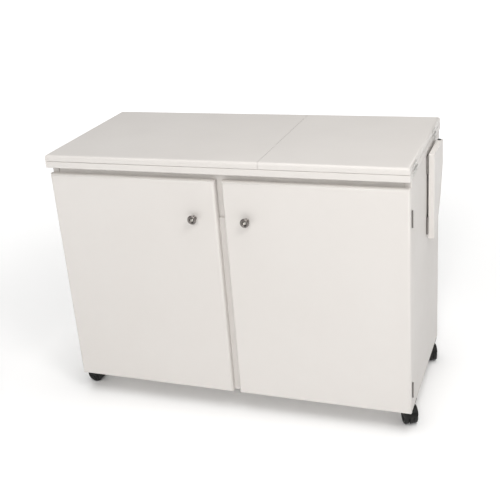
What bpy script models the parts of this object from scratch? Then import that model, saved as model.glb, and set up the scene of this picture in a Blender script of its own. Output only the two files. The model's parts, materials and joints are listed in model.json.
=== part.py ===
"""Closed sewing cabinet on casters.

A white laminate carcass with two overlay doors, a fixed deck with a machine
well, a two-leaf folding lid, a swing-out support wing on each side, a machine
platform on a gas lift, and four twin-wheel casters.

Metres, +Z up, front faces -Y, origin at the bottom centre of the bounding box.
"""
import math

import bmesh
import bpy
from mathutils import Matrix, Vector

for old in list(bpy.data.objects):
    bpy.data.objects.remove(old, do_unlink=True)

# ------------------------------------------------------------------ sizes
G = 0.0003                    # assembly gap between touching boards
BOARD = 0.019                 # laminate board thickness

HEIGHT = 0.762                # floor to lid top
SLAB_W = 1.016                # deck and lid width
SLAB_D = 0.470                # deck and lid depth
LID_GAP = 0.0005              # lid underside to deck top
CARCASS_W = 1.010             # over the two side panels
SIDE_BOTTOM = 0.061           # carcass underside above the floor

KNOB_LEN = 0.022
DOOR_SETBACK = 0.002          # door face behind the deck's front edge
SLAB_FRONT = -(SLAB_D + KNOB_LEN - DOOR_SETBACK) / 2 + (KNOB_LEN - DOOR_SETBACK)
SLAB_BACK = SLAB_FRONT + SLAB_D
DOOR_FRONT = SLAB_FRONT + DOOR_SETBACK
DOOR_BACK = DOOR_FRONT + BOARD
DOOR_SEAM = 0.003             # hinge-leaf seam between door and side panel
SIDE_FRONT = DOOR_BACK + DOOR_SEAM
SIDE_BACK = SLAB_BACK - 0.010

DECK_TOP = HEIGHT - BOARD
DECK_BOTTOM = DECK_TOP - BOARD
SLAB_SHIFT = -0.0025          # deck and lid sit slightly to the left on the carcass
SLAB_LEFT = -SLAB_W / 2 + SLAB_SHIFT
SLAB_RIGHT = SLAB_W / 2 + SLAB_SHIFT
SIDE_X = CARCASS_W / 2
INNER_X = SIDE_X - BOARD

DOOR_TOP = 0.706
DOOR_BOTTOM = 0.061
DOOR_GAP = 0.020              # clear gap between the doors, covered by the batten
DOOR_ROUND = 0.009            # round-over on the door's front edges
BATTEN_T = 0.0035             # thin cover strip, clear of the apron and the floor board
APRON_BOTTOM = 0.590
BATTEN_TOP = 0.598            # laps in front of the apron's lower edge
APRON_FRONT = SIDE_FRONT + 0.002

SEAM_X = 0.116                # joint between the two lid leaves
SEAM_GAP = 0.0008
LID_ROUND = 0.008             # round-over on the lid's upper rim
RIM = 0.0015                  # small round on the other rims

WELL_LO = (-0.450, SLAB_FRONT + 0.075)
WELL_HI = (0.065, SLAB_FRONT + 0.385)
PARTITION_X = (SEAM_X - BOARD / 2, SEAM_X + BOARD / 2)

BACK_T = 0.016
BACK_Y = (SIDE_BACK - 0.002 - BACK_T, SIDE_BACK - 0.002)

WING_T = 0.0160
WING_TOP = 0.7212
WING_BOTTOM = 0.478
WING_END_BOTTOM = 0.655
WING_FRONT = DOOR_FRONT + 0.241
WING_LEN = 0.150
BUMPER_R = 0.0052
BUMPER_TOP = DECK_BOTTOM - 0.0005

LIFT_Y = 0.005                # depth of the lift's centre line
PLATFORM_TOP = 0.438
PLATFORM_T = 0.016
CARRIAGE_T = 0.0147
LIFT_X = -0.190

CASTER_X = 0.4832             # plate flush with the carcass side
CASTER_Y = (SIDE_FRONT + 0.0495, SIDE_BACK - 0.035)
WHEEL_R = 0.025
CASTER_OFFSET = 0.0155
CASTER_TRAIL = {"front_right": -64.0, "front_left": 180.0,
                "rear_right": -68.0, "rear_left": 80.0}

KNOB_X = 0.075
KNOB_Z = 0.600

# ------------------------------------------------------------------ helpers


def material(name, colour, roughness, metallic=0.0):
    mat = bpy.data.materials.new(name)
    mat.use_nodes = True
    shader = mat.node_tree.nodes["Principled BSDF"]
    shader.inputs["Base Color"].default_value = (*colour, 1.0)
    shader.inputs["Roughness"].default_value = roughness
    shader.inputs["Metallic"].default_value = metallic
    return mat


LAMINATE = (0.86, 0.84, 0.80)
STEEL = (0.55, 0.55, 0.56)
BLACK = (0.02, 0.02, 0.022)


def add(name, mesh, colour, roughness, metallic=0.0, matrix=None, smooth=0.0):
    obj = bpy.data.objects.new(name, mesh)
    bpy.context.scene.collection.objects.link(obj)
    if not mesh.materials:
        mesh.materials.append(None)
    obj.material_slots[0].link = 'OBJECT'
    obj.material_slots[0].material = material(name, colour, roughness, metallic)
    if matrix is not None:
        obj.matrix_world = matrix
    if smooth:
        mesh.shade_smooth()
        mesh.set_sharp_from_angle(angle=math.radians(smooth))
    return obj


def finish_bmesh(bm, name):
    bmesh.ops.recalc_face_normals(bm, faces=bm.faces)
    mesh = bpy.data.meshes.new(name)
    bm.to_mesh(mesh)
    bm.free()
    return mesh


def prism(outline, low, high, axis="z"):
    """A straight prism: a 2-D outline swept along one axis."""
    def place(u, v, w):
        return {"z": (u, v, w), "x": (w, u, v), "y": (u, w, v)}[axis]
    bm = bmesh.new()
    bottom = [bm.verts.new(place(u, v, low)) for u, v in outline]
    top = [bm.verts.new(place(u, v, high)) for u, v in outline]
    bm.faces.new(bottom)
    bm.faces.new(top)
    count = len(outline)
    for i in range(count):
        j = (i + 1) % count
        bm.faces.new((bottom[i], bottom[j], top[j], top[i]))
    return bm


def rim_edges(bm, axis, level, tol=1e-6):
    """Edges lying in the plane where one coordinate equals level."""
    return [e for e in bm.edges
            if all(abs(v.co[axis] - level) < tol for v in e.verts)]


def bevel(bm, edges, width, segments):
    bmesh.ops.bevel(bm, geom=edges, offset=width, offset_type='OFFSET',
                    segments=segments, profile=0.5, affect='EDGES',
                    clamp_overlap=True)


def rectangle(x0, y0, x1, y1):
    return [(x0, y0), (x1, y0), (x1, y1), (x0, y1)]


def plain_board(name, lo, hi, colour=LAMINATE, roughness=0.45, edge=0.0):
    bm = prism(rectangle(lo[0], lo[1], hi[0], hi[1]), lo[2], hi[2])
    if edge:
        bmesh.ops.recalc_face_normals(bm, faces=bm.faces)
        bevel(bm, list(bm.edges), edge, 1)
    return add(name, finish_bmesh(bm, name), colour, roughness)


def rounded_rectangle(x0, y0, x1, y1, radius, corners, steps=4):
    """Outline with rounded corners; corners holds 'sw', 'se', 'ne', 'nw'."""
    spec = [("sw", x0, y0, 180), ("se", x1, y0, 270),
            ("ne", x1, y1, 0), ("nw", x0, y1, 90)]
    points = []
    for key, px, py, start in spec:
        if key not in corners:
            points.append((px, py))
            continue
        cx = px + (radius if px == x0 else -radius)
        cy = py + (radius if py == y0 else -radius)
        for i in range(steps + 1):
            a = math.radians(start + 90.0 * i / steps)
            points.append((cx + radius * math.cos(a), cy + radius * math.sin(a)))
    return points


def slab(name, x0, x1, z0, z1, low_round, top_round, seam=None):
    """A top board with softened rims and mitred corners.

    The edges in the plane x = seam stay square, so that two boards meet there
    with a plain hairline joint.
    """
    def rims(level):
        return [e for e in rim_edges(bm, 2, level)
                if seam is None or any(abs(v.co.x - seam) > 1e-6 for v in e.verts)]
    bm = prism(rectangle(x0, SLAB_FRONT, x1, SLAB_BACK), z0, z1)
    bmesh.ops.recalc_face_normals(bm, faces=bm.faces)
    bevel(bm, rims(z1), top_round, 4)
    bevel(bm, rims(z0), low_round, 2)
    return add(name, finish_bmesh(bm, name), LAMINATE, 0.42, smooth=40)


def revolve(profile, steps, axis="z"):
    """Closed solid turned from a profile of (radius, height) points.

    The first and last points lie on the axis.
    """
    def place(r, a, h):
        c, s = r * math.cos(a), r * math.sin(a)
        return {"z": (c, s, h), "y": (c, h, s), "x": (h, c, s)}[axis]
    bm = bmesh.new()
    rings = []
    for radius, height in profile:
        if radius < 1e-9:
            rings.append([bm.verts.new(place(0.0, 0.0, height))])
        else:
            rings.append([bm.verts.new(place(radius, 2 * math.pi * k / steps, height))
                          for k in range(steps)])
    for a, b in zip(rings, rings[1:]):
        for k in range(steps):
            n = (k + 1) % steps
            corners = [a[k % len(a)], a[n % len(a)], b[n % len(b)], b[k % len(b)]]
            face = []
            for v in corners:
                if v not in face:
                    face.append(v)
            bm.faces.new(face)
    return bm


def temp_object(bm, name):
    obj = bpy.data.objects.new(name, finish_bmesh(bm, name))
    bpy.context.scene.collection.objects.link(obj)
    return obj


def combine(base, operations, name):
    """Apply exact booleans in turn and return the resulting mesh."""
    for kind, other in operations:
        mod = base.modifiers.new(kind.lower(), 'BOOLEAN')
        mod.operation = kind
        mod.solver = 'EXACT'
        mod.object = other
    bpy.context.view_layer.update()
    graph = bpy.context.evaluated_depsgraph_get()
    mesh = bpy.data.meshes.new_from_object(base.evaluated_get(graph))
    mesh.name = name
    for obj in [base] + [other for _, other in operations]:
        bpy.data.objects.remove(obj, do_unlink=True)
    return mesh


# ------------------------------------------------------------------ carcass
for sign, side in ((-1, "left"), (1, "right")):
    xa, xb = sorted((sign * INNER_X, sign * SIDE_X))
    plain_board(side + "_side_panel", (xa, SIDE_FRONT, SIDE_BOTTOM),
                (xb, SIDE_BACK, DECK_BOTTOM - G), edge=0.001)

FLOOR_TOP = SIDE_BOTTOM + BOARD
plain_board("bottom_panel", (-INNER_X + G, SIDE_FRONT + 0.001, SIDE_BOTTOM),
            (INNER_X - G, SIDE_BACK, FLOOR_TOP))
plain_board("back_panel", (-INNER_X + G, BACK_Y[0], FLOOR_TOP + G),
            (INNER_X - G, BACK_Y[1], DECK_BOTTOM - G))
plain_board("front_apron", (-INNER_X + G, APRON_FRONT, APRON_BOTTOM),
            (INNER_X - G, APRON_FRONT + BOARD, DECK_BOTTOM - G), edge=0.001)
plain_board("lift_partition", (PARTITION_X[0], APRON_FRONT + BOARD + G, FLOOR_TOP + G),
            (PARTITION_X[1], BACK_Y[0] - G, DECK_BOTTOM - G))

# ------------------------------------------------------------------ deck with machine well
deck = slab("deck_panel", SLAB_LEFT, SLAB_RIGHT, DECK_BOTTOM, DECK_TOP, 0.003, RIM)
well = add("well_cutter",
           finish_bmesh(prism(rounded_rectangle(*WELL_LO, *WELL_HI, 0.012,
                                                ("sw", "se", "ne", "nw"), 3),
                              DECK_BOTTOM - 0.02, DECK_TOP + 0.02), "well_cutter"),
           LAMINATE, 0.5)
well.hide_render = True
well.display_type = 'WIRE'
cut = deck.modifiers.new("well", 'BOOLEAN')
cut.operation = 'DIFFERENCE'
cut.solver = 'EXACT'
cut.object = well

# ------------------------------------------------------------------ lid leaves
slab("left_lid_leaf", SLAB_LEFT, SEAM_X - SEAM_GAP / 2, DECK_TOP + LID_GAP, HEIGHT,
     RIM, LID_ROUND, SEAM_X - SEAM_GAP / 2)
slab("right_lid_leaf", SEAM_X + SEAM_GAP / 2, SLAB_RIGHT, DECK_TOP + LID_GAP, HEIGHT,
     RIM, LID_ROUND, SEAM_X + SEAM_GAP / 2)


# ------------------------------------------------------------------ doors
def door(name, x0, x1):
    bm = prism(rectangle(x0, DOOR_BOTTOM, x1, DOOR_TOP), DOOR_FRONT, DOOR_BACK, axis="y")
    bmesh.ops.recalc_face_normals(bm, faces=bm.faces)
    bevel(bm, rim_edges(bm, 1, DOOR_FRONT), DOOR_ROUND, 4)
    bevel(bm, rim_edges(bm, 1, DOOR_BACK), 0.001, 1)
    return add(name, finish_bmesh(bm, name), LAMINATE, 0.40, smooth=30)


door("left_door", -SIDE_X, -DOOR_GAP / 2)
door("right_door", DOOR_GAP / 2, SIDE_X)
plain_board("left_door_batten", (-DOOR_GAP / 2 - 0.020, DOOR_BACK + G, DOOR_BOTTOM + 0.001),
            (DOOR_GAP / 2 - 0.0007, DOOR_BACK + BATTEN_T, BATTEN_TOP), edge=0.0008)

KNOB_PROFILE = ((0.0, 0.0), (0.0065, 0.0), (0.0065, -0.0015), (0.0048, -0.0035),
                (0.0050, -0.0080), (0.0090, -0.0115), (0.0120, -0.0145),
                (0.0125, -0.0175), (0.0115, -0.0205), (0.0085, -0.0218), (0.0, -0.0220))
for sign, side in ((-1, "left"), (1, "right")):
    scale = KNOB_LEN / 0.0220
    profile = [(r, h * scale - G if h == 0.0 else h * scale) for r, h in KNOB_PROFILE]
    bm = revolve(profile, 20, axis="y")
    add(side + "_door_knob", finish_bmesh(bm, side + "_door_knob"), (0.62, 0.62, 0.63), 0.28, 1.0,
        Matrix.Translation((sign * KNOB_X, DOOR_FRONT, KNOB_Z)), smooth=35)

# ------------------------------------------------------------------ butt hinges
PIN_R = 0.0010
BARREL_R = 0.0021             # door and lid hinges
WING_BARREL_R = 0.0022


def hinge_meshes(tag, length, folded, leaf_t, leaf_w, barrel_r=BARREL_R):
    """Two leaves of a butt hinge, folded shut, about the local Z axis.

    Both leaves reach towards local -X. The fixed leaf lies on the +Y side and
    carries the two end knuckles and the pin; the moving leaf lies on the -Y
    side and carries the centre knuckle. folded is the thickness over both.
    """
    half = length / 2
    knuckle = length * 0.33
    inner = half - knuckle
    relief = barrel_r + 0.0006
    y_out = folded / 2
    y_in = y_out - leaf_t
    root = -0.0004 if y_in > PIN_R else -PIN_R - 0.0006

    # fixed leaf: plate with a notch round the centre knuckle
    slack = 0.0005
    outline = [(root, -half), (root, -inner - slack / 2), (-relief, -inner - slack / 2),
               (-relief, inner + slack / 2), (root, inner + slack / 2), (root, half),
               (-leaf_w, half), (-leaf_w, -half)]
    plate = temp_object(prism(outline, y_in, y_out, axis="y"), tag + "_plate")
    low = temp_object(revolve([(0, -half), (barrel_r, -half), (barrel_r, -inner),
                               (0, -inner)], 14), tag + "_low")
    high = temp_object(revolve([(0, inner), (barrel_r, inner), (barrel_r, half),
                                (0, half)], 14), tag + "_high")
    pin = temp_object(revolve([(0, -half + 0.002), (PIN_R, -half + 0.002),
                               (PIN_R, half - 0.002), (0, half - 0.002)], 10), tag + "_pin")
    fixed = combine(plate, [('UNION', low), ('UNION', high), ('UNION', pin)], tag + "_fixed")

    # moving leaf: plate with notches round the end knuckles, bored centre knuckle
    centre = inner - slack
    outline = [(root, -centre), (root, centre), (-relief, centre), (-relief, half),
               (-leaf_w, half), (-leaf_w, -half), (-relief, -half), (-relief, -centre)]
    plate = temp_object(prism(outline, -y_out, -y_in, axis="y"), tag + "_plate")
    barrel = temp_object(revolve([(0, -centre), (barrel_r, -centre), (barrel_r, centre),
                                  (0, centre)], 14), tag + "_barrel")
    bore = temp_object(revolve([(0, -length), (PIN_R + 0.0004, -length), (PIN_R + 0.0004, length),
                                (0, length)], 14), tag + "_bore")
    moving = combine(plate, [('UNION', barrel), ('DIFFERENCE', bore)], tag + "_moving")
    return fixed, moving


def turned(x_to, y_to, z_to):
    """Rotation taking the local axes to the given directions."""
    return Matrix((x_to, y_to, z_to)).transposed().to_4x4()


HINGE_STEEL = ((0.45, 0.45, 0.46), 0.35, 1.0)


def place_hinge(label, meshes, point, rotation, moving_turn=0.0):
    where = Matrix.Translation(point) @ rotation
    add(label + "_fixed_leaf", meshes[0], *HINGE_STEEL, where, smooth=35)
    add(label + "_moving_leaf", meshes[1], *HINGE_STEEL,
        where @ Matrix.Rotation(math.radians(moving_turn), 4, 'Z'), smooth=35)


# door hinges: leaves inside the seam, barrels outside the corner
DOOR_HINGE_L = 0.046
DOOR_AXIS = (SIDE_X + 0.0019, DOOR_BACK + DOOR_SEAM / 2)
DOOR_HINGE_Z = {"lower": DOOR_BOTTOM + 0.068, "upper": DOOR_TOP - 0.083}
door_meshes = hinge_meshes("door_hinge", DOOR_HINGE_L, DOOR_SEAM - 2 * G, 0.0010, 0.0200)
for level, z in DOOR_HINGE_Z.items():
    place_hinge("right_door_" + level + "_hinge", door_meshes,
                (DOOR_AXIS[0], DOOR_AXIS[1], z), Matrix.Identity(4))
    place_hinge("left_door_" + level + "_hinge", door_meshes,
                (-DOOR_AXIS[0], DOOR_AXIS[1], z), Matrix.Rotation(math.pi, 4, 'Y'))

# wing hinges: leaves folded between side panel and wing
WING_HINGE_L = 0.050
WING_AXIS_X = SIDE_X + WING_BARREL_R + G
WING_AXIS_Y = WING_FRONT - WING_BARREL_R - 0.0005
WING_INNER_X = WING_AXIS_X + WING_BARREL_R + G
WING_HINGE_Z = {"lower": WING_BOTTOM + 0.041, "upper": WING_TOP - 0.029}
wing_meshes = hinge_meshes("wing_hinge", WING_HINGE_L, 2 * WING_BARREL_R, 0.0010, 0.0220,
                           WING_BARREL_R)
for level, z in WING_HINGE_Z.items():
    place_hinge("right_wing_" + level + "_hinge", wing_meshes, (WING_AXIS_X, WING_AXIS_Y, z),
                Matrix.Rotation(math.radians(-90), 4, 'Z') @ Matrix.Rotation(math.pi, 4, 'X'))
    place_hinge("left_wing_" + level + "_hinge", wing_meshes, (-WING_AXIS_X, WING_AXIS_Y, z),
                Matrix.Rotation(math.radians(-90), 4, 'Z'))

# lid hinges: leaves on the board edges, barrel at the deck's top level
LID_HINGE_L = 0.050
LID_AXIS = (SLAB_LEFT - 0.0024, SLAB_RIGHT + 0.0024)
LID_HINGE_Y = {"front": DOOR_FRONT + 0.060, "rear": DOOR_FRONT + 0.353}
lid_meshes = hinge_meshes("lid_hinge", LID_HINGE_L, 2 * (0.0024 - G), 0.0010, 0.0150)
for place, y in LID_HINGE_Y.items():
    place_hinge("right_lid_" + place + "_hinge", lid_meshes, (LID_AXIS[1], y, DECK_TOP),
                turned((0, 0, 1), (-1, 0, 0), (0, -1, 0)), 180)
    place_hinge("left_lid_" + place + "_hinge", lid_meshes, (LID_AXIS[0], y, DECK_TOP),
                turned((0, 0, 1), (1, 0, 0), (0, 1, 0)), 180)


# ------------------------------------------------------------------ support wings
def wing_outline():
    """Side view of a wing as (y, z): level top, short end, bowed lower edge."""
    y0, y1 = WING_FRONT, WING_FRONT + WING_LEN
    points = [(y0, WING_TOP), (y0, WING_BOTTOM + 0.004), (y0 + 0.006, WING_BOTTOM)]
    start = Vector((y0 + 0.020, WING_BOTTOM))
    end = Vector((y1, WING_END_BOTTOM))
    knee = Vector((y1 - 0.035, WING_BOTTOM + 0.050))
    steps = 8
    for i in range(steps + 1):
        t = i / steps
        p = start * (1 - t) ** 2 + knee * 2 * t * (1 - t) + end * t ** 2
        points.append((p.x, p.y))
    points += [(y1, WING_TOP - 0.008), (y1 - 0.003, WING_TOP - 0.002), (y1 - 0.008, WING_TOP)]
    return points


for sign, side in ((-1, "left"), (1, "right")):
    xa, xb = sorted((sign * WING_INNER_X, sign * (WING_INNER_X + WING_T)))
    bm = prism(wing_outline(), xa, xb, axis="x")
    bmesh.ops.recalc_face_normals(bm, faces=bm.faces)
    bevel(bm, rim_edges(bm, 0, xa) + rim_edges(bm, 0, xb), 0.0015, 1)
    add(side + "_support_wing", finish_bmesh(bm, side + "_support_wing"), LAMINATE, 0.42, smooth=30)
    pad_x = sign * (WING_INNER_X + WING_T / 2)
    bm = revolve([(0, WING_TOP + G), (BUMPER_R, WING_TOP + G), (BUMPER_R, BUMPER_TOP - 0.0006),
                  (BUMPER_R - 0.001, BUMPER_TOP), (0, BUMPER_TOP)], 14)
    add(side + "_wing_bumper", finish_bmesh(bm, side + "_wing_bumper"), BLACK, 0.8, 0.0,
        Matrix.Translation((pad_x, WING_FRONT + WING_LEN - 0.015, 0.0)), smooth=35)

# ------------------------------------------------------------------ machine lift
RAIL_DEPTH = 0.018
RAIL_HALF = 0.018
RAIL_T = 0.002
SLOT_HALF = 0.006


def rail_outline(wall, sign):
    """Plan of a lipped channel screwed to a wall and open away from it."""
    x0 = wall + sign * G
    x1 = x0 + sign * RAIL_DEPTH
    w, t, s = RAIL_HALF, RAIL_T, SLOT_HALF
    points = [(x0, -w), (x1, -w), (x1, -s), (x1 - sign * t, -s), (x1 - sign * t, -w + t),
              (x0 + sign * t, -w + t), (x0 + sign * t, w - t), (x1 - sign * t, w - t),
              (x1 - sign * t, s), (x1, s), (x1, w), (x0, w)]
    return [(x, y + LIFT_Y) for x, y in points]


add("left_lift_rail", finish_bmesh(prism(rail_outline(-INNER_X, 1), FLOOR_TOP + G, DECK_BOTTOM - 0.002),
                                   "left_lift_rail"), STEEL, 0.4, 1.0)
add("right_lift_rail", finish_bmesh(prism(rail_outline(PARTITION_X[0], -1), FLOOR_TOP + G,
                                          DECK_BOTTOM - 0.002), "right_lift_rail"), STEEL, 0.4, 1.0)

plain_board("lift_platform", (WELL_LO[0] + 0.008, WELL_LO[1] + 0.008, PLATFORM_TOP - PLATFORM_T),
            (WELL_HI[0] - 0.008, WELL_HI[1] - 0.008, PLATFORM_TOP), edge=0.001)

CARRIAGE_TOP = PLATFORM_TOP - PLATFORM_T - G
CARRIAGE_BOTTOM = CARRIAGE_TOP - CARRIAGE_T


def carriage_outline():
    """Plan of the carrier: a wide plate with a T-shaped shoe at each end."""
    left_face = -INNER_X + G + RAIL_DEPTH
    right_face = PARTITION_X[0] - G - RAIL_DEPTH
    neck, head, plate = SLOT_HALF - 0.001, RAIL_HALF - RAIL_T - 0.002, 0.060
    xa, xb = left_face + 0.006, right_face - 0.006
    ha, hb = left_face - RAIL_T - 0.001, right_face + RAIL_T + 0.001
    ea, eb = left_face - RAIL_DEPTH + RAIL_T + 0.001, right_face + RAIL_DEPTH - RAIL_T - 0.001
    right = [(xb, -plate), (xb, -neck), (hb, -neck), (hb, -head), (eb, -head),
             (eb, head), (hb, head), (hb, neck), (xb, neck), (xb, plate)]
    left = [(xa, plate), (xa, neck), (ha, neck), (ha, head), (ea, head),
            (ea, -head), (ha, -head), (ha, -neck), (xa, -neck), (xa, -plate)]
    return [(x, y + LIFT_Y) for x, y in right + left]


add("lift_carriage", finish_bmesh(prism(carriage_outline(), CARRIAGE_BOTTOM, CARRIAGE_TOP),
                                  "lift_carriage"), STEEL, 0.45, 1.0)

CYL_TOP = 0.392
add("gas_cylinder",
    finish_bmesh(revolve([(0, 0), (0.020, 0), (0.020, 0.004), (0.011, 0.006),
                          (0.011, CYL_TOP - FLOOR_TOP - G - 0.002), (0.009, CYL_TOP - FLOOR_TOP - G),
                          (0.0052, CYL_TOP - FLOOR_TOP - G), (0.0052, 0.005), (0, 0.005)], 18),
                 "gas_cylinder"), (0.03, 0.03, 0.03), 0.3, 0.0,
    Matrix.Translation((LIFT_X, LIFT_Y, FLOOR_TOP + G)), smooth=35)
ROD_BOTTOM = 0.088
add("gas_rod",
    finish_bmesh(revolve([(0, ROD_BOTTOM), (0.0040, ROD_BOTTOM), (0.0040, CARRIAGE_BOTTOM - 0.008),
                          (0.0130, CARRIAGE_BOTTOM - 0.005), (0.0130, CARRIAGE_BOTTOM - G),
                          (0, CARRIAGE_BOTTOM - G)], 16), "gas_rod"),
    (0.7, 0.7, 0.72), 0.15, 1.0, Matrix.Translation((LIFT_X, LIFT_Y, 0.0)), smooth=35)

# ------------------------------------------------------------------ casters
PLATE_HALF = 0.022
PLATE_TOP = SIDE_BOTTOM - G
PLATE_BOTTOM = PLATE_TOP - 0.0022
STEM_R = 0.0030
HOOD_TOP = PLATE_BOTTOM - 0.0030


def caster_plate_mesh():
    bm = prism(rounded_rectangle(-PLATE_HALF, -PLATE_HALF, PLATE_HALF, PLATE_HALF, 0.004,
                                 ("sw", "se", "ne", "nw"), 2), PLATE_BOTTOM, PLATE_TOP)
    plate = temp_object(bm, "plate")
    stem = temp_object(revolve([(0, 0.0365), (STEM_R - 0.0006, 0.0365), (STEM_R, 0.0372),
                                (STEM_R, HOOD_TOP + 0.0006), (0.0085, HOOD_TOP + 0.0006),
                                (0.0085, PLATE_TOP - 0.001), (0, PLATE_TOP - 0.001)], 16), "stem")
    return combine(plate, [('UNION', stem)], "caster_plate")


def arc_ring(radius_in, radius_out, start, stop, steps, half):
    """Curved fender over the wheels, centred on the axle, width along Y."""
    outline = []
    for i in range(steps + 1):
        a = math.radians(start + (stop - start) * i / steps)
        outline.append((CASTER_OFFSET + radius_out * math.cos(a), WHEEL_R + radius_out * math.sin(a)))
    for i in range(steps, -1, -1):
        a = math.radians(start + (stop - start) * i / steps)
        outline.append((CASTER_OFFSET + radius_in * math.cos(a), WHEEL_R + radius_in * math.sin(a)))
    return prism(outline, -half, half, axis="y")


def caster_hood_mesh():
    web_half = 0.0046
    outline = []
    for i in range(13):
        a = math.radians(-40 + 220 * i / 12)
        outline.append((CASTER_OFFSET + 0.0268 * math.cos(a), WHEEL_R + 0.0268 * math.sin(a)))
    outline += [(CASTER_OFFSET - 0.0240, 0.020), (CASTER_OFFSET - 0.010, 0.013),
                (CASTER_OFFSET + 0.006, 0.011)]
    web = temp_object(prism(outline, -web_half, web_half, axis="y"), "web")
    fender = temp_object(arc_ring(0.0260, 0.0272, 12, 168, 12, 0.0195), "fender")
    boss = temp_object(revolve([(0, 0.0335), (0.0046, 0.0335), (0.0046, 0.0500),
                                (0.0046, HOOD_TOP), (0, HOOD_TOP)], 16), "boss")
    cap = temp_object(revolve([(0, 0.0490), (0.0080, 0.0490), (0.0080, HOOD_TOP),
                               (0, HOOD_TOP)], 16), "cap")
    stem_bore = temp_object(revolve([(0, 0.0355), (STEM_R + 0.0004, 0.0355),
                                     (STEM_R + 0.0004, 0.080), (0, 0.080)], 16), "stem_bore")
    axle_bore = temp_object(revolve([(0, -0.04), (0.0032, -0.04), (0.0032, 0.04), (0, 0.04)],
                                    16, axis="y"), "axle_bore")
    axle_bore.location = (CASTER_OFFSET, 0.0, WHEEL_R)
    return combine(web, [('UNION', fender), ('UNION', boss), ('UNION', cap),
                         ('DIFFERENCE', stem_bore), ('DIFFERENCE', axle_bore)], "caster_hood")


def caster_wheels_mesh():
    profile = [(0, -0.0185), (0.0150, -0.0185), (0.0180, -0.0190), (0.0230, -0.0182),
               (WHEEL_R, -0.0155), (WHEEL_R, -0.0080), (0.0240, -0.0058), (0.0028, -0.0058),
               (0.0028, 0.0058), (0.0240, 0.0058), (WHEEL_R, 0.0080), (WHEEL_R, 0.0155),
               (0.0230, 0.0182), (0.0180, 0.0190), (0.0150, 0.0185), (0, 0.0185)]
    return finish_bmesh(revolve(profile, 24, axis="y"), "caster_wheels")


plate_mesh, hood_mesh, wheels_mesh = caster_plate_mesh(), caster_hood_mesh(), caster_wheels_mesh()
for row, y in (("front", CASTER_Y[0]), ("rear", CASTER_Y[1])):
    for sign, side in ((-1, "left"), (1, "right")):
        corner = row + "_" + side
        trail = math.radians(CASTER_TRAIL[corner])
        centre = Matrix.Translation((sign * CASTER_X, y, 0.0))
        swivel = centre @ Matrix.Rotation(trail, 4, 'Z')
        add(corner + "_caster_plate", plate_mesh, STEEL, 0.4, 1.0, centre, smooth=35)
        add(corner + "_caster_hood", hood_mesh, BLACK, 0.45, 0.0, swivel, smooth=35)
        axle = swivel @ Matrix.Translation((CASTER_OFFSET, 0.0, WHEEL_R))
        add(corner + "_caster_wheels", wheels_mesh, BLACK, 0.55, 0.0, axle, smooth=35)
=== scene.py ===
"""Looks for the sewing cabinet: detailed pieces, materials, floor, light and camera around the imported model."""
import json
import math

import bmesh
import bpy
from mathutils import Matrix, Vector


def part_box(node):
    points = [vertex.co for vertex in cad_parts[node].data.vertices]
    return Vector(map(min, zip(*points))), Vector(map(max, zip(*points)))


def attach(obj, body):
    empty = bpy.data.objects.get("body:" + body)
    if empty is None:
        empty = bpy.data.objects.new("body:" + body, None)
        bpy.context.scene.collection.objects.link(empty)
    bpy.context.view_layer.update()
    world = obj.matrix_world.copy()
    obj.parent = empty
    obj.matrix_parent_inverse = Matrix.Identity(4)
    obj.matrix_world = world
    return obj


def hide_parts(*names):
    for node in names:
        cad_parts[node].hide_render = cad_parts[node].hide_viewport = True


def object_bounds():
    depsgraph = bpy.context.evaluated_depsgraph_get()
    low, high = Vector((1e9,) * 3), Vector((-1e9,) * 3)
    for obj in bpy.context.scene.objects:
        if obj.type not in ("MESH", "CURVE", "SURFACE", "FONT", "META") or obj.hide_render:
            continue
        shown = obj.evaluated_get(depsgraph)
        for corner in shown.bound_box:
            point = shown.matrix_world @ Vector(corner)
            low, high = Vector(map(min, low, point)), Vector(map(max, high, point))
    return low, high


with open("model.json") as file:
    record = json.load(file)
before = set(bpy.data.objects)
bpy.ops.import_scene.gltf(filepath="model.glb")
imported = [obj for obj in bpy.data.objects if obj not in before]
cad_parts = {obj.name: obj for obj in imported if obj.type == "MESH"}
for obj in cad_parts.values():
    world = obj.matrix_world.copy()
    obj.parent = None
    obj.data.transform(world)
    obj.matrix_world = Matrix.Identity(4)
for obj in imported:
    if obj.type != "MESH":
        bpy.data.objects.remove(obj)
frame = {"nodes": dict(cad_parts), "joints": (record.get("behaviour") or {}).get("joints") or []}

CAD_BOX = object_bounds()
NODES = frame["nodes"]
JOINTS = {j["name"]: j for j in frame["joints"]}
SCENE = bpy.context.scene

# ------------------------------------------------------------------ sizes shared by several pieces (metres)
G = 0.0003                    # gap between touching pieces
DOOR_ROUND = 0.0090           # round-over on a door's front rim
LID_ROUND = 0.0080            # round-over on the lid's upper rim
RIM = 0.0015
WELL_CORNER = 0.012
KNOB_LEN = 0.022
# leaf thickness, folded thickness, leaf width, length, barrel radius, screw head height
HINGES = {
    "door": (0.0010, 0.0024, 0.0200, 0.046, 0.0021, 0.00014),
    "wing": (0.0010, 0.0044, 0.0220, 0.050, 0.0022, 0.00060),
    "lid": (0.0010, 0.0042, 0.0150, 0.050, 0.0021, 0.00070),
}


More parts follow.
